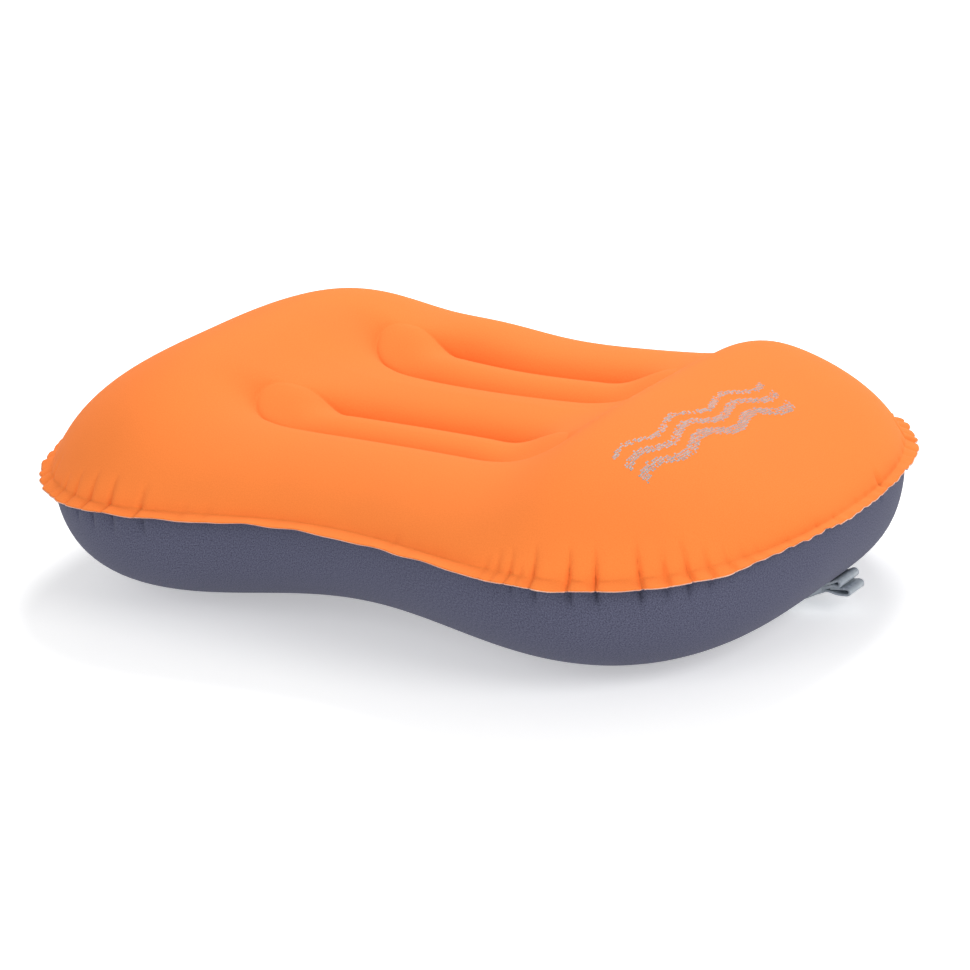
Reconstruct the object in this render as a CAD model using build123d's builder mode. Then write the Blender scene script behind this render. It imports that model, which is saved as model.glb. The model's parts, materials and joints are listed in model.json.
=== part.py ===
from build123d import *
import os
from math import copysign, cos, exp, radians, sin

# Inflatable camp pillow, in millimetres.  +X runs along the pillow towards the valve end,
# -Y is the near long side, +Z is up.  The origin is on the ground under the seam's centre.

# The welded seam, seen from above
HALF_LENGTH = 208.0
HALF_WIDTH = 153.0
END_POWER = 3.8
SIDE_POWER = 2.2
WAIST_DEPTH = 0.17
WAIST_SPREAD = 108.0
SEAM_FLANGE = 7.0
SEAM_HEIGHT = 62.0

# The upper dome, with its dished head cradle
CROWN = 70.0
CROWN_WAIST_GAIN = 0.21
CROWN_POWER = 3.4
CROWN_ROUND = 1.27
CRADLE_DEPTH = 60.0
CRADLE_SPREAD_X = 127.0
CRADLE_SPREAD_Y = 198.0
CRADLE_EDGE = 2.5

# The lower dome, arched a little under the waist, so that the pillow stands on two lobes
BELLY = 71.0
BELLY_WAIST_LOSS = 0.2
BELLY_POWER = 3.9
BELLY_ROUND = 2.4

# Sheet thicknesses
FABRIC = 0.7
FILM = 0.5

# The lofts: profiles along the pillow, and points across each profile, by angle
STATION_LIMIT = 84
STATION_STEP = 14
PROFILE_STEP = 15
OUTLINE_STEP = 6
SKIRT = 3.0

# Internal webs, two under each of the two crease loops
LOOP_CENTRE_Y = 46.0
LOOP_WIDTH = 34.0
WEB = 0.6
WEB_HEM = 8.0
WEB_LENGTH = 168.0
WEB_HOLES = 5
WEB_HOLE_PITCH = 32.0
WEB_HOLE_RADIUS = 5.0
WEB_HOLE_HEIGHT = 48.0

# The two-stage valve sits on a flat facet of the lower dome, near the +X end.  Its plane
# faces down and outwards: local x runs up the slope to the hinges, local z points outwards.
VALVE_ORIGIN = (171.0, 23.0, 10.4)
VALVE_TILT = 23.0
PORT_RADIUS = 10.2
NECK_RADIUS = 12.0
INNER_FLANGE_RADIUS = 15.0
INNER_FLANGE = 1.2
FACE_RADIUS = 16.0
PLATE = 1.4
LID_GAP = 0.2
LID_RADIUS = 14.5
LID_LIP = 2.5
LIP_WIDTH = 9.0
PLUG_RADIUS = 10.0
PLUG_TIP_RADIUS = 9.7
PLUG_BORE_RADIUS = 8.2
PLUG_DEPTH = 2.8
INLET_RADIUS = 4.5
INLET_LID_RADIUS = 9.0
STOPPER_RADIUS = 4.35
STOPPER_TIP_RADIUS = 4.0
STOPPER_DEPTH = 1.2
INLET_LIP = 2.0
MEMBRANE_RADIUS = 6.2
MEMBRANE = 0.5
MEMBRANE_TRAVEL = 1.0
CAGE = 0.9
CAGE_BAR = 1.4
CAGE_RING_INNER = 6.9
STRAP_WIDTH = 18.0
INLET_STRAP_WIDTH = 14.0
LUG_REACH = 17.0
INLET_LUG_REACH = 11.0

# Centre lines of the two strap hinges as they lie folded, from the fixed end to the lid:
# points joined by arcs, each starting in the direction in which the last one ends
DEFLATE_FOLD = [(17.0, 0.7), (20.16, 0.56), (19.31, 3.168), (17.0, 2.3)]
INFLATE_FOLD = [(14.5, 3.7), (16.6, 4.1), (23.4, 6.1), (22.83, 9.15), (13.06, 4.6414), (11.0, 3.9)]

# Heights of the valve's plates over the fabric's facet
FACE_TOP = PLATE
LID_BASE = FACE_TOP + LID_GAP
LID_TOP = LID_BASE + PLATE
INLET_LID_BASE = LID_TOP + LID_GAP
FABRIC_BACK = -FABRIC
FILM_BACK = FABRIC_BACK - FILM

CAGE_TOP = LID_BASE - MEMBRANE - MEMBRANE_TRAVEL

# How far the tool that opens the valve's hole runs each way
HOLE_REACH = 5.0


def waist(x):
    """1 at the middle of the pillow, falling to 0 towards its ends."""
    return exp(-((x / WAIST_SPREAD) ** 2))


def half_width(x, inset):
    """Distance from the centre line to the seam at station x."""
    taper = 1 - (abs(x) / (HALF_LENGTH - inset)) ** END_POWER
    width = (HALF_WIDTH - inset) * taper ** (1 / SIDE_POWER)
    return width * (1 - WAIST_DEPTH * waist(x))


def swell(x, across, inset, power, roundness):
    """Dome factor: 1 in the middle, 0 all along the seam."""
    along = 1 - (abs(x) / (HALF_LENGTH - inset)) ** power
    return (along * (1 - abs(across) ** power)) ** (1 / roundness)


def crown(x, across, inset):
    """Height of the upper dome over the seam."""
    y = across * half_width(x, inset)
    cradle = exp(-((abs(x) / CRADLE_SPREAD_X) ** CRADLE_EDGE))
    cradle *= exp(-((abs(y) / CRADLE_SPREAD_Y) ** CRADLE_EDGE))
    full = CROWN * (1 + CROWN_WAIST_GAIN * waist(x)) - CRADLE_DEPTH * cradle - inset
    return full * swell(x, across, inset, CROWN_POWER, CROWN_ROUND)


def belly(x, across, inset):
    """Height of the lower dome over the seam, a negative number."""
    full = BELLY * (1 - BELLY_WAIST_LOSS * waist(x)) - inset
    return -full * swell(x, across, inset, BELLY_POWER, BELLY_ROUND)


def dome(height, inset):
    """Closed solid under one dome, drawn in by inset, with a short skirt past the seam."""
    skirt = -SKIRT if height is crown else SKIRT
    with BuildPart() as solid:
        for station in range(-STATION_LIMIT, STATION_LIMIT + 1, STATION_STEP):
            x = (HALF_LENGTH - inset) * sin(radians(station))
            with BuildSketch(Plane.YZ.offset(x)):
                with BuildLine():
                    points = []
                    for angle in range(-90, 91, PROFILE_STEP):
                        across = sin(radians(angle))
                        y = across * half_width(x, inset)
                        points.append((y, SEAM_HEIGHT + height(x, across, inset)))
                    arch = Spline(*points)
                    drop = Vector(0, skirt)
                    Polyline(arch @ 1, arch @ 1 + drop, arch @ 0 + drop, arch @ 0)
                make_face()
        loft()
    return solid.part


def valve_plane(height):
    """The valve's own plane, at a height over the facet."""
    tilt = radians(VALVE_TILT)
    up_slope = (cos(tilt), 0, sin(tilt))
    outward = (sin(tilt), 0, -cos(tilt))
    return Plane(VALVE_ORIGIN, x_dir=up_slope, z_dir=outward).offset(height)


def fold_edge(fold, side):
    """One edge of a strap hinge's side view, half a plate from its centre line."""
    heading = Vector(1, 0)
    ends = []
    for start, end in zip(fold, fold[1:]):
        turned = TangentArc(start, end, tangent=heading, mode=Mode.PRIVATE) % 1
        first = Vector(*start) + Vector(-heading.Y, heading.X) * (side * PLATE / 2)
        last = Vector(*end) + Vector(-turned.Y, turned.X) * (side * PLATE / 2)
        TangentArc(first, last, tangent=heading)
        ends += [first, last]
        heading = turned
    return ends[0], ends[-1]


def strap(fold, width):
    """A folded strap hinge of the valve, swept flat across its width."""
    tilt = radians(VALVE_TILT)
    side_view = Plane(VALVE_ORIGIN, x_dir=(cos(tilt), 0, sin(tilt)), z_dir=(0, 1, 0))
    with BuildPart() as hinge:
        with BuildSketch(side_view):
            with BuildLine():
                left = fold_edge(fold, 1)
                right = fold_edge(fold, -1)
                Line(left[0], right[0])
                Line(left[1], right[1])
            make_face()
        extrude(amount=width / 2, both=True)
    return hinge.part


def plate(base, radius, lug_reach, lug_width, lip):
    """A round valve plate with a strap lug on one side and a finger lip on the other."""
    with BuildPart() as disc:
        with BuildSketch(valve_plane(base)):
            Circle(radius)
            with Locations((lug_reach / 2, 0)):
                Rectangle(lug_reach, lug_width)
            if lip:
                with Locations((-(radius + lip) / 2, 0)):
                    RectangleRounded(radius + lip, LIP_WIDTH, lip / 2)
        extrude(amount=PLATE)
    return disc.part


def plug(base, depth, radius, tip_radius):
    """A tapered stopper under a valve plate."""
    with BuildPart() as cone:
        with BuildSketch(valve_plane(base)):
            Circle(radius)
        with BuildSketch(valve_plane(base - depth)):
            Circle(tip_radius)
        loft()
    return cone.part


def lower_dome(inset):
    """The lower dome, flat where it meets the ground and under the valve."""
    with BuildPart() as solid:
        add(dome(belly, inset))
        split(bisect_by=Plane.XY.offset(inset), keep=Keep.TOP)
        split(bisect_by=valve_plane(-inset), keep=Keep.BOTTOM)
    return solid.part


def flange_outline():
    """Plan of the pillow with its welded flange."""
    with BuildSketch(mode=Mode.PRIVATE) as outline:
        with BuildLine():
            points = []
            for angle in range(0, 360, OUTLINE_STEP):
                c = cos(radians(angle))
                s = sin(radians(angle))
                x = (HALF_LENGTH + SEAM_FLANGE) * copysign(abs(c) ** (2 / END_POWER), c)
                y = (HALF_WIDTH + SEAM_FLANGE) * copysign(abs(s) ** (2 / SIDE_POWER), s)
                points.append((x, y * (1 - WAIST_DEPTH * waist(x))))
            Spline(*points, periodic=True)
        make_face()
    return outline.sketch


def wall_slab(y, width):
    """Upright slab along the pillow, from the ground past the crown."""
    with BuildPart() as slab:
        with BuildSketch():
            with Locations((0, y)):
                Rectangle(WEB_LENGTH, width)
        extrude(amount=SEAM_HEIGHT + CROWN)
    return slab.part


# The nested domes that the sheets are made from
top_outer = dome(crown, 0)
top_middle = dome(crown, FABRIC)
top_inner = dome(crown, FABRIC + FILM)
bottom_outer = lower_dome(0)
bottom_middle = lower_dome(FABRIC)
bottom_inner = lower_dome(FABRIC + FILM)
flange = flange_outline()

with BuildPart() as cavity:
    add(top_inner)
    add(bottom_inner)

with BuildPart() as cavity_core:
    add(dome(crown, FABRIC + FILM + WEB))
    add(lower_dome(FABRIC + FILM + WEB))

# Upper sheet: orange knit over an airtight film
with BuildPart() as top_fabric:
    add(top_outer)
    split(bisect_by=Plane.XY.offset(SEAM_HEIGHT + FILM), keep=Keep.TOP)
    with BuildSketch(Plane.XY.offset(SEAM_HEIGHT + FILM)):
        add(flange)
    extrude(amount=FABRIC)
    add(top_middle, mode=Mode.SUBTRACT)

with BuildPart() as top_film:
    add(top_middle)
    split(bisect_by=Plane.XY.offset(SEAM_HEIGHT), keep=Keep.TOP)
    with BuildSketch(Plane.XY.offset(SEAM_HEIGHT)):
        add(flange)
    extrude(amount=FILM)
    add(top_inner, mode=Mode.SUBTRACT)

# Lower sheet: grey knit over an airtight film, both holed for the valve's neck
with BuildPart() as bottom_fabric:
    add(bottom_outer)
    split(bisect_by=Plane.XY.offset(SEAM_HEIGHT - FILM), keep=Keep.BOTTOM)
    with BuildSketch(Plane.XY.offset(SEAM_HEIGHT - FILM)):
        add(flange)
    extrude(amount=-FABRIC)
    add(bottom_middle, mode=Mode.SUBTRACT)
    with BuildSketch(valve_plane(0)):
        Circle(NECK_RADIUS)
    extrude(amount=HOLE_REACH, both=True, mode=Mode.SUBTRACT)

with BuildPart() as bottom_film:
    add(bottom_middle)
    split(bisect_by=Plane.XY.offset(SEAM_HEIGHT), keep=Keep.BOTTOM)
    with BuildSketch(Plane.XY.offset(SEAM_HEIGHT)):
        add(flange)
    extrude(amount=-FILM)
    add(bottom_inner, mode=Mode.SUBTRACT)
    with BuildSketch(valve_plane(0)):
        Circle(NECK_RADIUS)
    extrude(amount=HOLE_REACH, both=True, mode=Mode.SUBTRACT)

# Valve body: a flange welded inside the film, and its neck through the sheets
with BuildPart() as valve_base:
    with BuildSketch(valve_plane(FILM_BACK - INNER_FLANGE)):
        Circle(INNER_FLANGE_RADIUS)
    extrude(amount=INNER_FLANGE)
    with BuildSketch(valve_plane(FILM_BACK)):
        Circle(NECK_RADIUS)
    extrude(amount=-FILM_BACK)
    with BuildSketch(valve_plane(0)):
        Circle(PORT_RADIUS)
    extrude(amount=-HOLE_REACH, mode=Mode.SUBTRACT)

with BuildPart() as valve_face:
    add(plate(0, FACE_RADIUS, LUG_REACH, STRAP_WIDTH, 0))
    with BuildSketch(valve_plane(0)):
        Circle(PORT_RADIUS)
    extrude(amount=PLATE, mode=Mode.SUBTRACT)

# Large lid: opens the whole port to empty the pillow, and carries the small inlet
with BuildPart() as deflate_lid:
    add(plate(LID_BASE, LID_RADIUS, LUG_REACH, STRAP_WIDTH, LID_LIP))
    add(plug(LID_BASE, PLUG_DEPTH, PLUG_RADIUS, PLUG_TIP_RADIUS))
    with BuildSketch(valve_plane(LID_BASE)):
        Circle(PLUG_BORE_RADIUS)
    extrude(amount=-PLUG_DEPTH, mode=Mode.SUBTRACT)
    with BuildSketch(valve_plane(LID_BASE)):
        Circle(INLET_RADIUS)
    extrude(amount=PLATE, mode=Mode.SUBTRACT)

# One-way flap under the inlet, and the cross that keeps it from falling in
with BuildPart() as check_membrane:
    with BuildSketch(valve_plane(LID_BASE - MEMBRANE)):
        Circle(MEMBRANE_RADIUS)
    extrude(amount=MEMBRANE)

with BuildPart() as membrane_cage:
    with BuildSketch(valve_plane(CAGE_TOP)):
        Circle(PLUG_BORE_RADIUS)
        Circle(CAGE_RING_INNER, mode=Mode.SUBTRACT)
        Rectangle(2 * CAGE_RING_INNER + CAGE_BAR, CAGE_BAR)
        Rectangle(CAGE_BAR, 2 * CAGE_RING_INNER + CAGE_BAR)
    extrude(amount=-CAGE)

# Small lid: closes the inlet
with BuildPart() as inflate_lid:
    add(plate(INLET_LID_BASE, INLET_LID_RADIUS, INLET_LUG_REACH, INLET_STRAP_WIDTH, INLET_LIP))
    add(plug(INLET_LID_BASE, STOPPER_DEPTH, STOPPER_RADIUS, STOPPER_TIP_RADIUS))

with BuildPart() as deflate_strap:
    add(strap(DEFLATE_FOLD, STRAP_WIDTH))

with BuildPart() as inflate_strap:
    add(strap(INFLATE_FOLD, INLET_STRAP_WIDTH))

pieces = {
    "top_fabric": top_fabric,
    "top_film": top_film,
    "bottom_fabric": bottom_fabric,
    "bottom_film": bottom_film,
    "valve_base": valve_base,
    "valve_face": valve_face,
    "deflate_lid": deflate_lid,
    "check_membrane": check_membrane,
    "membrane_cage": membrane_cage,
    "inflate_lid": inflate_lid,
    "deflate_strap": deflate_strap,
    "inflate_strap": inflate_strap,
}

# Four upright webs hold the cradle down: each is a strip with air holes, hemmed where it
# is welded to the films above and below
web_lines = {
    "front_outer_web": -LOOP_CENTRE_Y - LOOP_WIDTH / 2,
    "front_inner_web": -LOOP_CENTRE_Y + LOOP_WIDTH / 2,
    "rear_inner_web": LOOP_CENTRE_Y - LOOP_WIDTH / 2,
    "rear_outer_web": LOOP_CENTRE_Y + LOOP_WIDTH / 2,
}
for name, y in web_lines.items():
    with BuildPart() as hem:
        add(wall_slab(y, WEB_HEM))
        add(cavity.part, mode=Mode.INTERSECT)
        add(cavity_core.part, mode=Mode.SUBTRACT)
    with BuildPart() as web:
        add(wall_slab(y, WEB))
        add(cavity.part, mode=Mode.INTERSECT)
        add(hem.part)
        with BuildSketch(Plane.XZ.offset(-y)):
            with Locations((0, WEB_HOLE_HEIGHT)):
                with GridLocations(WEB_HOLE_PITCH, 0, WEB_HOLES, 1):
                    Circle(WEB_HOLE_RADIUS)
        extrude(amount=WEB, both=True, mode=Mode.SUBTRACT)
    pieces[name] = web

os.makedirs("parts", exist_ok=True)
for name, piece in pieces.items():
    piece.part.label = name
    export_step(piece.part, f"parts/{name}.step")
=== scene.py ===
import json
import math
import random

import bmesh
import bpy
import numpy as np
from mathutils import Matrix, Vector
from mathutils.geometry import delaunay_2d_cdt


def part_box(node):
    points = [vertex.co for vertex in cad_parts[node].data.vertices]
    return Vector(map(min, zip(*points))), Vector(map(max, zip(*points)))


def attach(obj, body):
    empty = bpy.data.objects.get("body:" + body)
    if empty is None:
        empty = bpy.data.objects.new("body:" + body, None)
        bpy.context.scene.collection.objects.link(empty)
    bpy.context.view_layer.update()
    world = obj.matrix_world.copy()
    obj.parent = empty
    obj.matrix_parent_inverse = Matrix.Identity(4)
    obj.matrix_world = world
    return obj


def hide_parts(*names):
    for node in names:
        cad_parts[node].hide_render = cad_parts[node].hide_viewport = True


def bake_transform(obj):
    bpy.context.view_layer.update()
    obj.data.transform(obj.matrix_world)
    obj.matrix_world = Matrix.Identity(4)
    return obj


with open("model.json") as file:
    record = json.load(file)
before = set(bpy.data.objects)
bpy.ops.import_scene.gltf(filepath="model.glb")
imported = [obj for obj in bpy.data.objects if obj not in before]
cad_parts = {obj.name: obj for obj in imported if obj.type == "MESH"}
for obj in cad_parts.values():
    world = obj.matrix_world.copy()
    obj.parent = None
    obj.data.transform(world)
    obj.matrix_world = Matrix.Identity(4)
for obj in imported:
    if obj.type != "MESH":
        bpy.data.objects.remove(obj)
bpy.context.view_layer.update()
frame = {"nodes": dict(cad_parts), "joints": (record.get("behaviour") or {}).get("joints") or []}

MM = 0.001

# ---------------------------------------------------------------- the pillow's shape
# Lengths are metres in the CAD frame: +X to the valve end, -Y the near side, seam level SEAM_Z
FLANGE = 7 * MM
film_low, film_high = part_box("top_film")
HALF_LENGTH = film_high.x - FLANGE
SEAM_Z = film_low.z
HALF_WIDTH = 153 * MM
END_POWER = 3.8
SIDE_POWER = 2.2
WAIST_DEPTH = 0.17
WAIST_SPREAD = 108 * MM
SEAM_RISE = 4 * MM

CROWN = 62 * MM
CROWN_WAIST_GAIN = -0.1
CROWN_TILT = 0.045
SHOULDER = 5.5 * MM
SHOULDER_AT = (-48 * MM, 100 * MM)
SHOULDER_SPREAD = (36 * MM, 40 * MM)
CROWN_POWER = 3.4
CROWN_ROUND = 1.27
CRADLE_DEPTH = 31 * MM
CRADLE_SPREAD = (104 * MM, 163 * MM)
CRADLE_EDGE = (5.5, 2.2)
CRADLE_EDGE_GAIN = 2.5
CRADLE_EDGE_RUN = 40 * MM

BELLY = 71 * MM
BELLY_WAIST_LOSS = 0.2
BELLY_POWER = 3.9
BELLY_ROUND = 2.4

# Crease loops, where the webs are welded on. Their ends are shallower, and so are the corners on
# their +Y sides; each such stretch is where it starts and how long it takes
LOOP_Y = 44 * MM
LOOP_BOW = 39 * MM
LOOP_HALF_WIDTH = 16.5 * MM
LOOP_REACH = 70 * MM
LOOP_DEPTH = 14.5 * MM
LOOP_SPREAD = 9.5 * MM
PINCH = 0.16
PINCH_SPREAD = 1.8 * MM
ENDS_FROM, ENDS_OVER = 52 * MM, 36 * MM
LOOSE_FROM, LOOSE_OVER = 42 * MM, 34 * MM
LOOSE_ACROSS = 26 * MM
LOOP_HUMP = 9 * MM
UNDER_DEPTH = 6 * MM
UNDER_HUMP = 2.5 * MM

# Sheets and their meshes
FABRIC = 0.25 * MM
FILM = 0.12 * MM
SEGMENTS = 1000
RINGS = 26
INNER_RHO = 0.72
LATTICE = 2.7 * MM


def smooth_step(value):
    value = np.clip(value, 0, 1)
    return value * value * (3 - 2 * value)


def waist(x):
    return np.exp(-((x / WAIST_SPREAD) ** 2))


def half_width(x):
    taper = np.clip(1 - np.abs(x / HALF_LENGTH) ** END_POWER, 0, None)
    width = HALF_WIDTH * taper ** (1 / SIDE_POWER) * (1 - WAIST_DEPTH * waist(x))
    return np.maximum(width, 1e-6)


def swell(x, y, power, roundness):
    along = np.clip(1 - np.abs(x / HALF_LENGTH) ** power, 0, None)
    across = np.clip(1 - np.abs(y / half_width(x)) ** power, 0, None)
    return (along * across) ** (1 / roundness)


def loop_centre(x):
    """How far a crease loop's centre line lies from the middle of the pillow at x."""
    return LOOP_Y + LOOP_BOW * (x / HALF_LENGTH) ** 2


def loop_distance(x, y):
    """Signed distance to the nearer crease loop: negative inside it."""
    beyond = np.maximum(np.abs(x) - LOOP_REACH, 0)
    return np.hypot(beyond, np.abs(y) - loop_centre(x)) - LOOP_HALF_WIDTH


def crease(x, y, depth, hump):
    """How far the sheet is pulled in at and around the crease loops."""
    d = loop_distance(x, y)
    behind = y - np.sign(y) * loop_centre(x)
    loose = smooth_step((np.abs(x) - LOOSE_FROM) / LOOSE_OVER) * smooth_step(0.5 + behind / LOOSE_ACROSS)
    ends = smooth_step((np.abs(x) - ENDS_FROM) / ENDS_OVER)
    depth = depth * (1 - 0.85 * loose) * (1 - 0.45 * ends)
    hump = hump * (1 - 0.8 * loose) * (1 - 0.4 * ends)
    pinch = PINCH * depth * np.exp(-np.abs(d) / PINCH_SPREAD)
    outside = depth * np.exp(-np.abs(d) / LOOP_SPREAD)
    share = np.clip(-d / LOOP_HALF_WIDTH, 0, 1)
    low_end = 1 - 0.6 * smooth_step((np.abs(x) / LOOP_REACH - 0.55) / 0.6)
    inside = depth - hump * low_end * np.sin(share * math.pi / 2) ** 0.8
    return np.where(d > 0, outside, inside) + pinch


def cradle_share(x, y):
    """1 in the middle of the head cradle, falling to 0 over its walls, of which +X is the steepest."""
    edge = CRADLE_EDGE[0] + CRADLE_EDGE_GAIN * smooth_step(x / CRADLE_EDGE_RUN)
    along = np.exp(-np.abs(x / CRADLE_SPREAD[0]) ** edge)
    return along * np.exp(-np.abs(y / CRADLE_SPREAD[1]) ** CRADLE_EDGE[1])


def shoulder_share(x, y):
    """1 at the fuller place beside the cradle on the +Y side, falling to 0 around it."""
    along = (x - SHOULDER_AT[0]) / SHOULDER_SPREAD[0]
    across = (y - SHOULDER_AT[1]) / SHOULDER_SPREAD[1]
    return np.exp(-along ** 2 - across ** 2)


def top_z(x, y):
    full = CROWN * (1 + CROWN_WAIST_GAIN * waist(x) - CROWN_TILT * x / HALF_LENGTH)
    full = full - CRADLE_DEPTH * cradle_share(x, y) - crease(x, y, LOOP_DEPTH, LOOP_HUMP)
    full = full + SHOULDER * shoulder_share(x, y)
    return SEAM_Z + SEAM_RISE * waist(x) + full * swell(x, y, CROWN_POWER, CROWN_ROUND)


def bottom_z(x, y):
    full = BELLY * (1 - BELLY_WAIST_LOSS * waist(x)) - crease(x, y, UNDER_DEPTH, UNDER_HUMP)
    z = SEAM_Z + SEAM_RISE * waist(x) - full * swell(x, y, BELLY_POWER, BELLY_ROUND)
    return np.maximum(z, 0.0)


# ---------------------------------------------------------------- the seam in plan
OUTLINE_STEPS = 14400
CORNER_AT = (163 * MM, 118 * MM)
CORNER_SIZE = 62 * MM
CORNER_CROWDING = 1.6


def seam_outline():
    t = np.linspace(0, 2 * math.pi, OUTLINE_STEPS, endpoint=False)
    c, s = np.cos(t), np.sin(t)
    x = HALF_LENGTH * np.sign(c) * np.abs(c) ** (2 / END_POWER)
    y = HALF_WIDTH * np.sign(s) * np.abs(s) ** (2 / SIDE_POWER) * (1 - WAIST_DEPTH * waist(x))
    return np.append(x, x[0]), np.append(y, y[0])


def resample(x, y, weight, count):
    """count points along the outline, closer together where weight is high."""
    step = np.hypot(np.diff(x), np.diff(y))
    length = np.concatenate([[0], np.cumsum(step)])
    load = np.concatenate([[0], np.cumsum(step * weight)])
    at = np.interp(np.arange(count) * load[-1] / count, load, length)
    return np.interp(at, length, x), np.interp(at, length, y), at, length[-1]


def corner_share(x, y):
    """1 at the four rounded corners of the outline, falling to 0 along its sides."""
    away = np.hypot(np.abs(x) - CORNER_AT[0], np.abs(y) - CORNER_AT[1]) / CORNER_SIZE
    return smooth_step(1.35 - away)


outline_x, outline_y = seam_outline()
crowding = 1 + CORNER_CROWDING * corner_share(outline_x[1:], outline_y[1:])
seam_x, seam_y, seam_s, SEAM_LENGTH = resample(outline_x, outline_y, crowding, SEGMENTS)
corner = corner_share(seam_x, seam_y)
side_x = np.roll(seam_x, -1) - np.roll(seam_x, 1)
side_y = np.roll(seam_y, -1) - np.roll(seam_y, 1)
side_size = np.hypot(side_x, side_y)
out_x, out_y = side_y / side_size, -side_x / side_size
# How far a line towards the middle leans along the seam, per length
radial_lean = (seam_x * -out_y + seam_y * out_x) / np.hypot(seam_x, seam_y)
end_share = smooth_step((np.abs(seam_x) / HALF_LENGTH - 0.9) / 0.08)


def around(ds):
    """A distance along the seam, taken the short way round."""
    return (ds + SEAM_LENGTH / 2) % SEAM_LENGTH - SEAM_LENGTH / 2


# ---------------------------------------------------------------- pleats along the seam
# Distances along the seam run counterclockwise from the middle of the +X end.
# Each pleat: (place, depth, length up the cloth), in mm
NEAR_CORNER_PLEATS = (
    (1000, 0.5, 9), (1006, 0.9, 13), (1012.5, 1.1, 14), (1018, 0.6, 8), (1024, 1.5, 17),
    (1040.5, 1.8, 18), (1052.5, 1.7, 18), (1072, 1.7, 20), (1083.5, 1.3, 15), (1094, 1.4, 19),
    (1104, 1.1, 14), (1114, 0.8, 10), (1123, 0.6, 8), (1131, 0.5, 7),
)
FAR_CORNER_PLEATS = ((746, 0.9, 10), (757, 1.3, 14), (770, 1.6, 17), (784, 1.6, 18), (803, 1.3, 16))
PLACED_BY_HAND = ((994, 1136), (741, 808))
PLEAT_HALF_REACH = 14 * MM
LONG_SIDE, STEEP_SIDE = 1.9 * MM, 0.9 * MM
CORE = 0.7 * MM
PUFF_AT, PUFF_WIDTH = 4.5 * MM, 4 * MM
# The fold that a pleat makes in the welded edge; its long side narrows towards the cut edge
FOLD_LONG_SIDE, FOLD_NARROWING, FOLD_STEEP_SIDE = 7.5 * MM, 4.5 * MM, 1.5 * MM
LIFT_AT, LIFT_WIDTH = 4 * MM, 4 * MM
# Pleats elsewhere: (depth, length up the cloth), in mm, for the two sorts
BIG_PLEAT, SMALL_PLEAT = (1.5, 16), (0.6, 7)


def make_pleats():
    """Listed pleats on the two near corners, seeded ones elsewhere."""
    rng = random.Random(11)
    pleats = [(at * MM, depth * MM, length * MM) for at, depth, length in NEAR_CORNER_PLEATS]
    pleats += [(at * MM, depth * MM, length * MM) for at, depth, length in FAR_CORNER_PLEATS]
    margin = 4 * MM
    at = margin
    while at < SEAM_LENGTH - margin:
        here = float(np.interp(at, seam_s, corner))
        end = float(np.interp(at, seam_s, end_share))
        taken = any(low * MM < at < high * MM for low, high in PLACED_BY_HAND)
        if not taken:
            big = rng.random() < 0.15 + 0.5 * here
            depth, length = BIG_PLEAT if big else SMALL_PLEAT
            depth *= (0.35 + 0.65 * max(here, 0.7 * end)) * rng.uniform(0.6, 1.1)
            length *= (0.5 + 0.5 * here) * rng.uniform(0.7, 1.1)
            pleats.append((at, depth * MM, length * MM))
        spacing = 17 - 6 * here - 8 * end * (1 - here)
        at += spacing * rng.uniform(0.65, 1.4) * MM
    return pleats


PLEATS = make_pleats()


def pleat_field(s, up):
    """How far the cloth is folded in, at distance s along the seam and up from it."""
    push = np.zeros(np.broadcast(s, up).shape)
    for at, depth, length in PLEATS:
        ds = around(s - at) + np.zeros_like(up)
        near = np.abs(ds) < PLEAT_HALF_REACH
        fade = np.clip(1 - up / length, 0, 1) ** 0.85
        grown = 1 + 0.8 * up / length
        left = np.exp(np.minimum(ds, 0) / (LONG_SIDE * grown))
        right = np.exp(-np.maximum(ds, 0) / (STEEP_SIDE * grown))
        puff = np.exp(-(((ds - PUFF_AT) / PUFF_WIDTH) ** 2))
        core = np.exp(-np.abs(ds) / CORE)
        push += np.where(near, depth * fade * (1.3 * left * right + 0.8 * core - 0.4 * puff), 0)
    return push


def flange_fold(s, share):
    """How far the welded edge is folded under, at s and at a share of its width."""
    under = np.zeros_like(s)
    long_side = FOLD_LONG_SIDE - FOLD_NARROWING * share
    for at, depth, _ in PLEATS:
        ds = around(s - at)
        left = np.clip(1 + ds / long_side, 0, 1) ** 1.2
        right = np.clip(1 - ds / FOLD_STEEP_SIDE, 0, 1)
        lift = np.exp(-(((ds - LIFT_AT) / LIFT_WIDTH) ** 2))
        under += depth * (0.75 * np.where(ds < 0, left, right) - 0.35 * lift)
    return under * smooth_step(share / 0.3)


# Each wave of the welded edge: (cycles round the seam, height in mm, phase)
SLOW_WAVES = ((13, 0.45, 5.0), (31, 0.3, 0.4), (47, 0.25, 2.1))
END_WAVE = 0.45 * MM
END_WAVE_CYCLES = 141


def flange_wave(s):
    """Slow waves of the welded edge, quicker and taller round the two ends."""
    turns = s / SEAM_LENGTH * 2 * math.pi
    wave = np.zeros_like(s)
    for cycles, size, phase in SLOW_WAVES:
        wave += size * MM * np.sin(cycles * turns + phase)
    uneven = 1.4 * np.sin(9 * turns)
    return wave + end_share * END_WAVE * np.sin(END_WAVE_CYCLES * turns + uneven)


# ---------------------------------------------------------------- mesh helpers
def link(name, data):
    obj = bpy.data.objects.new(name, data)
    bpy.context.scene.collection.objects.link(obj)
    return obj


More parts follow.
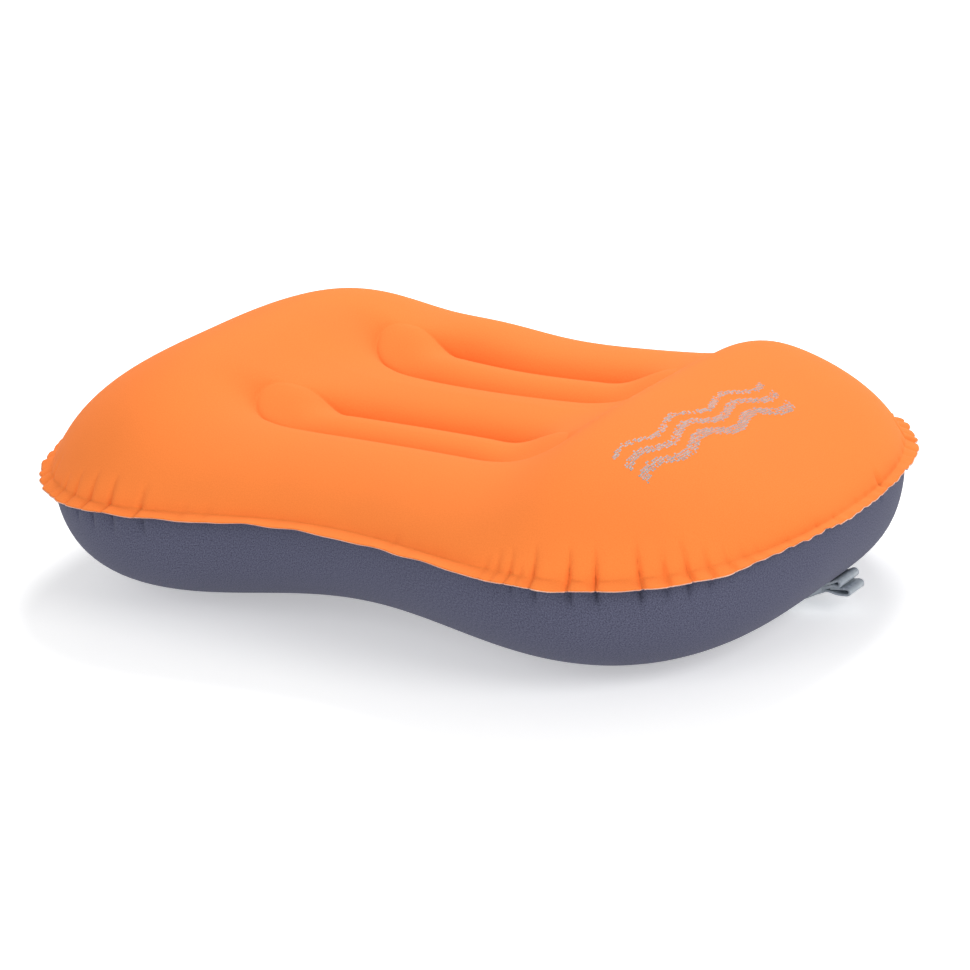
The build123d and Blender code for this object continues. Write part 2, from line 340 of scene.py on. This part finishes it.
def mesh_from(name, points, faces, uv=None):
    mesh = bpy.data.meshes.new(name)
    mesh.from_pydata([tuple(map(float, p)) for p in points], [], [tuple(map(int, f)) for f in faces])
    if uv is not None:
        layer = mesh.uv_layers.new(name="flat_pattern")
        corners = np.empty(len(mesh.loops), np.int32)
        mesh.loops.foreach_get("vertex_index", corners)
        layer.data.foreach_set("uv", np.asarray(uv, np.float32)[corners].ravel())
    mesh.polygons.foreach_set("use_smooth", [True] * len(mesh.polygons))
    mesh.update()
    return mesh


def point_outwards(obj, side=0):
    """Turns faces outwards; a sheet's outer side is up for side 1 and down for -1."""
    bm = bmesh.new()
    bm.from_mesh(obj.data)
    bmesh.ops.recalc_face_normals(bm, faces=bm.faces)
    middle = min(bm.faces, key=lambda f: f.calc_center_median().xy.length)
    if middle.normal.z * side < 0:
        bmesh.ops.reverse_faces(bm, faces=bm.faces)
    bm.to_mesh(obj.data)
    bm.free()


def thicken(obj, thickness):
    """Gives a sheet its thickness, inwards."""
    modifier = obj.modifiers.new("thickness", "SOLIDIFY")
    modifier.thickness = thickness
    modifier.offset = -1


def crease_points(side, offset, step):
    """A crease loop in plan, grown by offset."""
    width = LOOP_HALF_WIDTH + offset
    straight = np.arange(-LOOP_REACH, LOOP_REACH + step / 2, step)
    turn = np.arange(step / width / 2, math.pi, step / width)
    lower = np.stack([straight, np.full_like(straight, -width)], 1)
    bend = np.stack([LOOP_REACH + width * np.sin(turn), -width * np.cos(turn)], 1)
    loop = np.concatenate([lower, bend, -lower, -bend])
    x = loop[:, 0]
    y = loop[:, 1] + loop_centre(x)
    return np.stack([x, side * y], 1)


RIM_CLEARANCE = 1.6 * MM
LOOP_CLEARANCE = 4.6 * MM
CREASE_OFFSETS = (0, -0.7, 0.7, -1.8, 1.8, -3.4, 3.4)
CREASE_STEP = 2.0 * MM


def lattice_points(rim):
    """Evenly spread points inside the rim, clear of the crease loops."""
    rows = np.arange(-HALF_WIDTH, HALF_WIDTH, LATTICE * 0.866)
    columns = np.arange(-HALF_LENGTH, HALF_LENGTH, LATTICE)
    gx, gy = np.meshgrid(columns, rows)
    gx = gx + (np.arange(len(rows))[:, None] % 2) * LATTICE / 2
    gx, gy = gx.ravel(), gy.ravel()
    angles = np.arctan2(rim[:, 1], rim[:, 0])
    order = np.argsort(angles)
    far = np.hypot(rim[:, 0], rim[:, 1])[order]
    reach = np.interp(np.arctan2(gy, gx), angles[order], far, period=2 * math.pi)
    keep = np.hypot(gx, gy) < reach - RIM_CLEARANCE
    keep &= np.abs(loop_distance(gx, gy)) > LOOP_CLEARANCE
    return np.stack([gx[keep], gy[keep]], 1)


def interior(rim):
    """Triangles that fill the panel inside its rings, with edges along the crease loops."""
    points = [rim]
    edges = [(i, (i + 1) % len(rim)) for i in range(len(rim))]
    start = len(rim)
    for side in (-1, 1):
        for offset in CREASE_OFFSETS:
            loop = crease_points(side, offset * MM, CREASE_STEP)
            points.append(loop)
            edges += [(start + i, start + (i + 1) % len(loop)) for i in range(len(loop))]
            start += len(loop)
    points.append(lattice_points(rim))
    plan = [Vector(p) for p in np.concatenate(points).tolist()]
    return delaunay_2d_cdt(plan, edges, [], 1, 1e-7)


WALK_STEPS, WALK_CROWDING = 260, 2.6
RING_CROWDING = 1.35


def ring_places(height):
    """For each seam point, the shares of the way out at which its rings lie."""
    t = np.linspace(0, 1, WALK_STEPS)[:, None]
    rho = 1 - (1 - INNER_RHO) * t ** WALK_CROWDING
    x, y = rho * seam_x, rho * seam_y
    z = height(x, y)
    walk = np.sqrt(np.diff(x, axis=0) ** 2 + np.diff(y, axis=0) ** 2 + np.diff(z, axis=0) ** 2)
    up = np.concatenate([np.zeros((1, SEGMENTS)), np.cumsum(walk, axis=0)])
    share = (np.arange(RINGS + 1) / RINGS) ** RING_CROWDING
    places = np.empty((RINGS + 1, SEGMENTS))
    for i in range(SEGMENTS):
        places[:, i] = np.interp(share * up[-1, i], up[:, i], rho[:, 0])
    return places, share[:, None] * up[-1]


FLANGE_SHARES = (1.0, 0.9, 0.7, 0.48, 0.28, 0.12)


def flange_rows(rim, extra):
    """Rings of the welded edge, from its cut edge to the seam."""
    droop = np.radians(9 + 18 * corner)
    wave = flange_wave(seam_s)
    rows = []
    for share in FLANGE_SHARES:
        reach = (FLANGE * (1 - 0.3 * end_share) + extra) * share
        under = flange_fold(seam_s, share) - wave * share ** 1.4
        across = reach * np.cos(droop) - under * np.sin(droop)
        rise = -reach * np.sin(droop) - under * np.cos(droop)
        rows.append(rim + np.stack([out_x * across, out_y * across, rise], -1))
    return np.stack(rows)


# Going up the cloth from the seam: a pleat turns from sideways to square to the cloth over TURN_OVER,
# and the four layers in the weld come together over LAYERS_OVER
TURN_OVER = 4 * MM
LAYERS_OVER = 3 * MM
# The lower sheet's pleats are this much deeper just below the seam, and end sooner: from, over
UNDER_GAIN, UNDER_GAIN_OVER = 0.5, 1.2 * MM
UNDER_END_FROM, UNDER_END_OVER = 8 * MM, 6 * MM


def fold_way(grid, up, side):
    """The outward way, at each ring point, against which the pleats are folded in."""
    along = np.roll(grid, -1, 1) - np.roll(grid, 1, 1)
    normal = np.cross(along, np.gradient(grid, axis=0)) * side
    normal /= np.linalg.norm(normal, axis=-1, keepdims=True) + 1e-12
    if normal[RINGS // 2, :, 2].mean() * side < 0:
        normal = -normal
    outwards = np.stack([out_x, out_y, np.zeros(SEGMENTS)], -1)[None]
    turn = smooth_step(up / TURN_OVER)[..., None]
    way = outwards * (1 - turn) + normal * turn
    return way / np.linalg.norm(way, axis=-1, keepdims=True)


def fold_strength(up, side):
    """How strongly the pleats fold the sheet in, up the cloth from the seam."""
    strength = np.ones_like(up)
    if side < 0:
        strength += UNDER_GAIN * smooth_step(up / UNDER_GAIN_OVER)
        strength -= smooth_step((up - UNDER_END_FROM) / UNDER_END_OVER)
    return strength[..., None]


def folded_grid(height, side, layer):
    """Rings of the sheet from the seam inwards, pleats folded in; layer is its height in the weld."""
    rho, up = ring_places(height)
    x, y = rho * seam_x, rho * seam_y
    grid = np.stack([x, y, height(x, y)], -1)
    inwards = (1 - rho) * np.hypot(seam_x, seam_y)
    square = seam_s - inwards * radial_lean
    push = pleat_field(square, up)[..., None] * fold_strength(up, side)
    grid = grid - fold_way(grid, up, side) * push
    grid[..., 2] += layer * (1 - smooth_step(up / LAYERS_OVER))
    return grid, up


def flat_pattern(up):
    """Where each ring point lies when the sheet is laid flat, for the knit's own coordinates."""
    radius = np.hypot(seam_x, seam_y)
    edge = np.stack([radius * INNER_RHO + up[-1] + FLANGE * share for share in FLANGE_SHARES])
    flat = np.concatenate([edge, radius * INNER_RHO + up[-1] - up])
    return np.stack([flat * seam_x / radius, flat * seam_y / radius], -1).reshape(-1, 2)


def fill_inside(rim, height, rim_index, start):
    """The points and triangles inside the rings; rim_index and start number the mesh's points."""
    done = interior(rim)
    inner = np.array([(v.x, v.y) for v in done[0]])
    place = np.empty(len(inner), int)
    new_points = []
    for i, sources in enumerate(done[3]):
        on_rim = [k for k in sources if k < SEGMENTS]
        place[i] = rim_index[on_rim[0]] if on_rim else start + len(new_points)
        if not on_rim:
            new_points.append(i)
    inside = inner[new_points]
    inside = np.column_stack([inside, height(inside[:, 0], inside[:, 1])])
    return inside, [[place[v] for v in f] for f in done[2]]


def panel(name, height, side, layer, extra=0.0, inset=0.0):
    """One inflated sheet with its half of the welded edge; side is 1 above and -1 below."""
    grid, up = folded_grid(height, side, layer)
    rows = np.concatenate([flange_rows(grid[0], extra), grid])
    index = np.arange(rows.shape[0] * SEGMENTS).reshape(rows.shape[0], SEGMENTS)
    a, b = index[:-1], index[1:]
    quads = np.stack([a, np.roll(a, -1, 1), np.roll(b, -1, 1), b], -1).reshape(-1, 4)
    inside, triangles = fill_inside(grid[-1, :, :2], height, index[-1], index.size)
    points = np.concatenate([rows.reshape(-1, 3), inside])
    uv = np.concatenate([flat_pattern(up), inside[:, :2]])
    obj = link(name, mesh_from(name, points, quads.tolist() + triangles, uv))
    point_outwards(obj, side)
    if inset:
        shift_inwards(obj, inset)
    return obj


def shift_inwards(obj, distance):
    """Moves a sheet in from the fabric it lines, all but its welded edge."""
    count = len(obj.data.vertices)
    points, normals = np.empty(count * 3), np.empty(count * 3)
    obj.data.vertices.foreach_get("co", points)
    obj.data.vertices.foreach_get("normal", normals)
    points, normals = points.reshape(-1, 3), normals.reshape(-1, 3)
    edge = len(FLANGE_SHARES) * SEGMENTS
    points[edge:] -= normals[edge:] * distance
    obj.data.vertices.foreach_set("co", points.ravel())
    obj.data.update()


# ---------------------------------------------------------------- materials
def node_material(name):
    material = bpy.data.materials.new(name)
    material.use_nodes = True
    tree = material.node_tree
    return material, tree.nodes, tree.links, tree.nodes["Principled BSDF"]


def noise_node(nodes, links, vector, scale, detail):
    node = nodes.new("ShaderNodeTexNoise")
    node.inputs["Scale"].default_value = scale
    node.inputs["Detail"].default_value = detail
    links.new(vector, node.inputs["Vector"])
    return node.outputs["Fac"]


def ramp_node(nodes, links, factor, dark, light, low=0.3, high=0.7):
    node = nodes.new("ShaderNodeValToRGB")
    node.color_ramp.elements[0].color = (*dark, 1)
    node.color_ramp.elements[0].position = low
    node.color_ramp.elements[1].color = (*light, 1)
    node.color_ramp.elements[1].position = high
    links.new(factor, node.inputs["Fac"])
    return node.outputs["Color"]


def range_node(nodes, links, value, low, high):
    node = nodes.new("ShaderNodeMapRange")
    node.inputs["To Min"].default_value = low
    node.inputs["To Max"].default_value = high
    links.new(value, node.inputs["Value"])
    return node.outputs["Result"]


def math_node(nodes, links, operation, a, b):
    node = nodes.new("ShaderNodeMath")
    node.operation = operation
    links.new(a, node.inputs[0])
    links.new(b, node.inputs[1])
    return node.outputs["Value"]


def bump_node(nodes, links, height, shader, strength, distance):
    node = nodes.new("ShaderNodeBump")
    node.inputs["Strength"].default_value = strength
    node.inputs["Distance"].default_value = distance
    links.new(height, node.inputs["Height"])
    links.new(node.outputs["Normal"], shader.inputs["Normal"])


def ribs_node(nodes, links, vector, direction, scale, distortion):
    node = nodes.new("ShaderNodeTexWave")
    node.bands_direction = direction
    node.inputs["Scale"].default_value = scale
    node.inputs["Distortion"].default_value = distortion
    links.new(vector, node.inputs["Vector"])
    return node.outputs["Fac"]


# The knit's scales, per metre of cloth: its slow mottling, its upright wales and its rows of courses
MOTTLE = 26
WALES, COURSES = 420, 520


def knit(name, colour, dark, light, speckle, grain, sheen):
    """Fine knit: a speckle of fibres, slow mottling and a fine weave in the bump."""
    material, nodes, links, shader = node_material(name)
    coords = nodes.new("ShaderNodeUVMap")
    coords.uv_map = "flat_pattern"
    uv = coords.outputs["UV"]
    fibre = noise_node(nodes, links, uv, grain, 3)
    mottle = noise_node(nodes, links, uv, MOTTLE, 4)
    # A colour mix has its factor, A and B in sockets 0, 6 and 7, and its result in output 2
    mix = nodes.new("ShaderNodeMix")
    mix.data_type = "RGBA"
    mix.inputs[0].default_value = speckle
    mix.inputs[6].default_value = (*colour, 1)
    links.new(ramp_node(nodes, links, fibre, dark, light), mix.inputs[7])
    vary = nodes.new("ShaderNodeHueSaturation")
    links.new(range_node(nodes, links, mottle, 0.96, 1.04), vary.inputs["Value"])
    links.new(mix.outputs[2], vary.inputs["Color"])
    links.new(vary.outputs["Color"], shader.inputs["Base Color"])
    wales = ribs_node(nodes, links, uv, "X", WALES, 1.2)
    courses = ribs_node(nodes, links, uv, "Y", COURSES, 1.0)
    weave = math_node(nodes, links, "MULTIPLY", wales, courses)
    bump_node(nodes, links, math_node(nodes, links, "ADD", weave, fibre), shader, 0.22, 0.00012)
    links.new(range_node(nodes, links, mottle, 0.84, 0.94), shader.inputs["Roughness"])
    shader.inputs["Sheen Weight"].default_value = sheen
    shader.inputs["Sheen Roughness"].default_value = 0.5
    shader.inputs["Specular IOR Level"].default_value = 0.2
    return material


def elastomer(name, colour, dark, roughness, transmission):
    """Soft translucent plastic or rubber with faint flow marks."""
    material, nodes, links, shader = node_material(name)
    place = nodes.new("ShaderNodeTexCoord").outputs["Object"]
    cloud = noise_node(nodes, links, place, 180, 5)
    links.new(ramp_node(nodes, links, cloud, dark, colour, 0.35, 0.65), shader.inputs["Base Color"])
    grain = noise_node(nodes, links, place, 1400, 2)
    bump_node(nodes, links, grain, shader, 0.25, 0.0002)
    links.new(range_node(nodes, links, cloud, roughness - 0.06, roughness + 0.1), shader.inputs["Roughness"])
    shader.inputs["Transmission Weight"].default_value = transmission
    shader.inputs["Subsurface Weight"].default_value = 0.15
    shader.inputs["Subsurface Radius"].default_value = (0.002, 0.002, 0.002)
    shader.inputs["IOR"].default_value = 1.5
    return material


def ink(name):
    """Silver-grey print with the fabric's unevenness in it."""
    material, nodes, links, shader = node_material(name)
    place = nodes.new("ShaderNodeTexCoord").outputs["Object"]
    grain = noise_node(nodes, links, place, 1500, 3)
    colour = ramp_node(nodes, links, grain, (0.2, 0.195, 0.19), (0.5, 0.49, 0.48), 0.35, 0.65)
    links.new(colour, shader.inputs["Base Color"])
    bump_node(nodes, links, grain, shader, 0.4, 0.0002)
    shader.inputs["Roughness"].default_value = 0.55
    return material


orange = knit(
    "orange_knit", (0.96, 0.235, 0.045), (0.88, 0.2, 0.036), (1.0, 0.275, 0.058), 0.5, 1500, 0.0
)
grey = knit(
    "grey_knit", (0.074, 0.077, 0.122), (0.036, 0.038, 0.066), (0.12, 0.124, 0.19), 0.85, 1450, 0.05
)
tpu = elastomer("valve_tpu", (0.5, 0.55, 0.6), (0.38, 0.43, 0.49), 0.28, 0.25)
silicone = elastomer("membrane_silicone", (0.75, 0.76, 0.76), (0.66, 0.67, 0.68), 0.4, 0.3)
film = elastomer("lining_film", (0.92, 0.64, 0.5), (0.84, 0.55, 0.4), 0.45, 0.0)
web_film = elastomer("web_film", (0.75, 0.76, 0.78), (0.65, 0.67, 0.7), 0.4, 0.3)
silver = ink("silver_ink")


def dress(obj, material, body, slot, *stands_for):
    """Material, body and the CAD nodes that a new piece stands for; slot is not used."""
    obj.data.materials.clear()
    obj.data.materials.append(material)
    if body:
        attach(obj, body)
    if stands_for:
        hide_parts(*stands_for)
    return obj


# ---------------------------------------------------------------- the sheets
# Each sheet's height in the weld keeps the four layers apart; the films' cut edge shows a little
WELD_FABRIC = FABRIC + FILM
WELD_FILM = 0.8 * FILM
TOP_FILM_SHOWS, BOTTOM_FILM_SHOWS = 0.35 * MM, 0.15 * MM
FILM_INSET = 1.2 * FABRIC

top = panel("top_sheet", top_z, 1, WELD_FABRIC)
bottom = panel("bottom_sheet", bottom_z, -1, -WELD_FABRIC)
top_lining = panel("top_lining", top_z, 1, WELD_FILM, TOP_FILM_SHOWS, FILM_INSET)
bottom_lining = panel("bottom_lining", bottom_z, -1, -WELD_FILM, BOTTOM_FILM_SHOWS, FILM_INSET)
thicken(top, FABRIC)
thicken(bottom, FABRIC)
dress(top, orange, "pillow", "orange_knit", "top_fabric")
dress(bottom, grey, "pillow", "grey_knit", "bottom_fabric")
dress(top_lining, film, "pillow", "film", "top_film")
dress(bottom_lining, film, "pillow", "film", "bottom_film")


# ---------------------------------------------------------------- the webs inside
WEB_THICKNESS = 0.5 * MM
WEB_CLEARANCE = 0.8 * MM
WEB_SWAY = 1.2 * MM
WEB_RIPPLE = 9 * MM


def web(name, side, line, node):
    """A film curtain between a crease of the upper sheet and one of the lower."""
    x = np.linspace(-LOOP_REACH, LOOP_REACH, 75)
    y = side * (loop_centre(x) + line * LOOP_HALF_WIDTH)
    high, low = top_z(x, y) - WEB_CLEARANCE, bottom_z(x, y) + WEB_CLEARANCE
    share = np.linspace(0, 1, 13)[:, None]
    z = low + (high - low) * share
    sway = WEB_SWAY * np.sin(math.pi * share) * np.sin(x / WEB_RIPPLE)
    points = np.stack([np.broadcast_to(x, z.shape), y + sway, z], -1).reshape(-1, 3)
    index = np.arange(len(points)).reshape(z.shape)
    corners = (index[:-1, :-1], index[:-1, 1:], index[1:, 1:], index[1:, :-1])
    faces = np.stack(corners, -1).reshape(-1, 4)
    obj = link(name, mesh_from(name, points, faces))
    thicken(obj, WEB_THICKNESS)
    dress(obj, web_film, "pillow", "web_film", node)


web("front_outer_curtain", -1, 1, "front_outer_web")
web("front_inner_curtain", -1, -1, "front_inner_web")
web("rear_inner_curtain", 1, -1, "rear_inner_web")
web("rear_outer_curtain", 1, 1, "rear_outer_web")


# ---------------------------------------------------------------- the printed mark
# A plain pattern of three wavy stripes in fine dots. Stripes: (height of the middle, half width),
# and their wave: (height, length), all in mm, as are the dots
PRINT_START = Vector((155, -87)) * MM
PRINT_END = Vector((168, 25)) * MM
PRINT_LENGTH = 110
STRIPES = ((3, 2.5), (11.5, 2.0), (19, 1.5))
STRIPE_WAVE = (2.6, 37)
DOT_PITCH = 1.15
DOT_ROWS = range(-5, 31)
DOT_COLUMNS = range(0, 97)
DOT_SIZES = (0.46, 0.6)
DOT_JITTER = 0.12
DOTS_MISSING = 0.1
DOT_EDGE, DOT_TOP = 0.06, 0.16


def in_mark(u, v):
    """True where the pattern has ink; u runs along the print and v up it, in mm."""
    size, length = STRIPE_WAVE
    middle = size * math.sin(2 * math.pi * u / length)
    return 0 < u < PRINT_LENGTH and any(abs(v - middle - at) < half for at, half in STRIPES)


def dot_points(centre, size):
    """Six points round a dot of ink on the sheet, and its raised middle."""
    points = []
    for k in range(7):
        angle = k * math.pi / 3
        spread = size if k < 6 else 0
        x = centre.x + spread * math.cos(angle)
        y = centre.y + spread * math.sin(angle)
        z = float(top_z(np.array(x), np.array(y)))
        points.append((x, y, z + (DOT_EDGE if k < 6 else DOT_TOP) * MM))
    return points


def printed_mark():
    rng = random.Random(3)
    reading = (PRINT_END - PRINT_START).normalized()
    upwards = Vector((-reading.y, reading.x))
    points, faces = [], []
    for row in DOT_ROWS:
        for column in DOT_COLUMNS:
            u = (column + 0.5 * (row % 2)) * DOT_PITCH + rng.uniform(-DOT_JITTER, DOT_JITTER)
            v = row * DOT_PITCH + rng.uniform(-DOT_JITTER, DOT_JITTER)
            if not in_mark(u, v) or rng.random() < DOTS_MISSING:
                continue
            centre = PRINT_START + reading * (u * MM) + upwards * (v * MM)
            start = len(points)
            points += dot_points(centre, rng.uniform(*DOT_SIZES) * MM)
            faces += [(start + k, start + (k + 1) % 6, start + 6) for k in range(6)]
    obj = link("printed_mark", mesh_from("printed_mark", points, faces))
    dress(obj, silver, "pillow", None)


printed_mark()


# ---------------------------------------------------------------- the valve
def joint(name):
    return next(j for j in frame["joints"] if j["name"] == name)


slide = Vector(joint("check_flap_slide")["axis"])
up_slope = Vector((slide.z, 0, -slide.x))
outward = Vector((-slide.x, 0, -slide.z))
face_low, face_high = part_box("valve_face")
VALVE_Y = (face_low.y + face_high.y) / 2
HINGE = Vector(joint("deflate_lid_hinge")["pos_m"])
HINGE_LOCAL = (20.2, 2.05)


def valve_point(a, c, y=0.0):
    """A point in the valve's side view, in mm: a up the slope and c out from the fabric."""
    along = up_slope * ((a - HINGE_LOCAL[0]) * MM)
    off = outward * ((c - HINGE_LOCAL[1]) * MM)
    return Vector((HINGE.x, VALVE_Y + y, HINGE.z)) + along + off


CURVE_STEPS = 24
STRAP_RINGS = 64


def smooth_line(points, count):
    """A Catmull-Rom curve through points, as count points evenly along it."""
    p = np.array([points[0], *points, points[-1]], float)
    t = np.linspace(0, 1, CURVE_STEPS, endpoint=False)[:, None]
    line = []
    for i in range(1, len(p) - 2):
        a, b, c, d = p[i - 1], p[i], p[i + 1], p[i + 2]
        square = (2 * a - 5 * b + 4 * c - d) * t ** 2
        cube = (3 * b - a - 3 * c + d) * t ** 3
        line.append(0.5 * (2 * b + (c - a) * t + square + cube))
    line = np.concatenate([*line, p[-2:-1]])
    length = np.concatenate([[0], np.cumsum(np.hypot(*np.diff(line, axis=0).T))])
    at = np.linspace(0, length[-1], count)
    return np.stack([np.interp(at, length, line[:, k]) for k in range(2)], -1)


def strap_section(width, thickness):
    """A strap's section with rounded corners: points (across, off its centre line), in mm."""
    half, thin, soft = width / 2, thickness / 2, thickness * 0.28
    section = []
    for sy, sn in ((1, 1), (-1, 1), (-1, -1), (1, -1)):
        for k in range(4):
            angle = math.atan2(sn, sy) - math.pi / 4 + (k + 0.5) * math.pi / 8
            across = sy * (half - soft) + soft * math.cos(angle)
            section.append((across, sn * (thin - soft) + soft * math.sin(angle)))
    return section


def strap(name, fold, width, thickness):
    """A folded strap of the valve: a rounded ribbon along its side view's centre line."""
    line = smooth_line(fold, STRAP_RINGS)
    way = np.gradient(line, axis=0)
    way /= np.linalg.norm(way, axis=1, keepdims=True)
    section = strap_section(width, thickness)
    points, faces, ring = [], [], len(section)
    for (a, c), (da, dc) in zip(line, way):
        for across, off in section:
            points.append(valve_point(a - dc * off, c + da * off, across * MM))
    for i in range(len(line) - 1):
        for k in range(ring):
            m = (k + 1) % ring
            faces.append((i * ring + k, i * ring + m, (i + 1) * ring + m, (i + 1) * ring + k))
    faces.append(tuple(range(ring)))
    faces.append(tuple((len(line) - 1) * ring + k for k in reversed(range(ring))))
    obj = link(name, mesh_from(name, points, faces))
    point_outwards(obj)
    return obj


# Centre lines of the folds in the valve's side view, from the fixed end to the moving one
DEFLATE_FOLD = (
    (16.6, 0.75), (18.6, 0.66), (20.16, 0.56), (21.4, 1.05), (21.8, 2.05),
    (21.35, 3.1), (20.3, 3.5), (19.3, 3.05), (18.2, 2.5), (16.6, 2.3),
)
INFLATE_FOLD = (
    (14.4, 3.75), (16.6, 4.1), (20, 5.3), (22.5, 5.95), (23.6, 7.2), (23.1, 8.5),
    (21.9, 8.9), (19.2, 8.1), (16, 6.7), (13.1, 4.7), (10.8, 3.95),
)
# Width and thickness of the straps, in mm
DEFLATE_STRAP = (18, 1.4)
INFLATE_STRAP = (14, 1.2)
deflate_fold = strap("deflate_fold", DEFLATE_FOLD, *DEFLATE_STRAP)
inflate_fold = strap("inflate_fold", INFLATE_FOLD, *INFLATE_STRAP)
dress(deflate_fold, tpu, None, "valve_tpu", "deflate_strap")
dress(inflate_fold, tpu, None, "valve_tpu", "inflate_strap")
# Each fold turns where it is farthest out, so both of its ends stay flat on their plates
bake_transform(deflate_fold)
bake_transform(inflate_fold)

for name in ("valve_base", "valve_face", "deflate_lid", "membrane_cage", "inflate_lid"):
    dress(frame["nodes"][name], tpu, None, "valve_tpu")
dress(frame["nodes"]["check_membrane"], silicone, None, "membrane_silicone")


# ---------------------------------------------------------------- floor, light, camera
def add_floor():
    corners = [(-6, -6, 0), (6, -6, 0), (6, 6, 0), (-6, 6, 0)]
    floor = link("floor", mesh_from("floor", corners, [(0, 1, 2, 3)]))
    paint, _, _, shader = node_material("floor")
    shader.inputs["Base Color"].default_value = (0.9, 0.9, 0.9, 1)
    shader.inputs["Roughness"].default_value = 0.9
    shader.inputs["Emission Color"].default_value = (1, 1, 1, 1)
    shader.inputs["Emission Strength"].default_value = 0.4
    floor.data.materials.append(paint)


def add_world():
    world = bpy.data.worlds.new("studio")
    bpy.context.scene.world = world
    world.use_nodes = True
    background = world.node_tree.nodes["Background"]
    background.inputs["Color"].default_value = (1, 1, 1, 1)
    background.inputs["Strength"].default_value = 0.45


def area_light(name, place, size, power):
    light = bpy.data.lights.new(name, "AREA")
    light.shape = "DISK"
    light.size = size
    light.energy = power
    obj = link(name, light)
    obj.location = place
    obj.rotation_euler = (Vector((0, 0, 0.05)) - Vector(place)).to_track_quat("-Z", "Y").to_euler()


# The camera stands off the near right corner, a little above, looking down at the pillow
AZIMUTH = math.radians(35.27)
ELEVATION = math.radians(18.83)
ROLL = math.radians(-4.27)
DISTANCE = 1.709
SENSOR = 36
FOCAL = 3.631 * SENSOR
SHIFT = (0.013, -0.037)


def add_camera():
    level = math.cos(ELEVATION)
    back = Vector((math.sin(AZIMUTH) * level, -math.cos(AZIMUTH) * level, math.sin(ELEVATION)))
    right = Vector((math.cos(AZIMUTH), math.sin(AZIMUTH), 0))
    upward = back.cross(right)
    camera_x = right * math.cos(ROLL) + upward * math.sin(ROLL)
    camera_y = upward * math.cos(ROLL) - right * math.sin(ROLL)
    data = bpy.data.cameras.new("camera")
    camera = link("camera", data)
    turn = Matrix((camera_x, camera_y, back)).transposed().to_4x4()
    camera.matrix_world = Matrix.Translation(back * DISTANCE + Vector((0, 0, SEAM_Z))) @ turn
    data.sensor_width = SENSOR
    data.lens = FOCAL
    data.shift_x, data.shift_y = SHIFT
    bpy.context.scene.camera = camera


add_floor()
add_world()
area_light("key", (-0.3, 1.1, 1.5), 0.9, 24)
area_light("front", (-0.3, -1.7, 0.9), 1.2, 8)
area_light("fill", (1.7, -0.4, 1.1), 1.0, 14)
add_camera()
bpy.context.scene.view_settings.view_transform = "Standard"
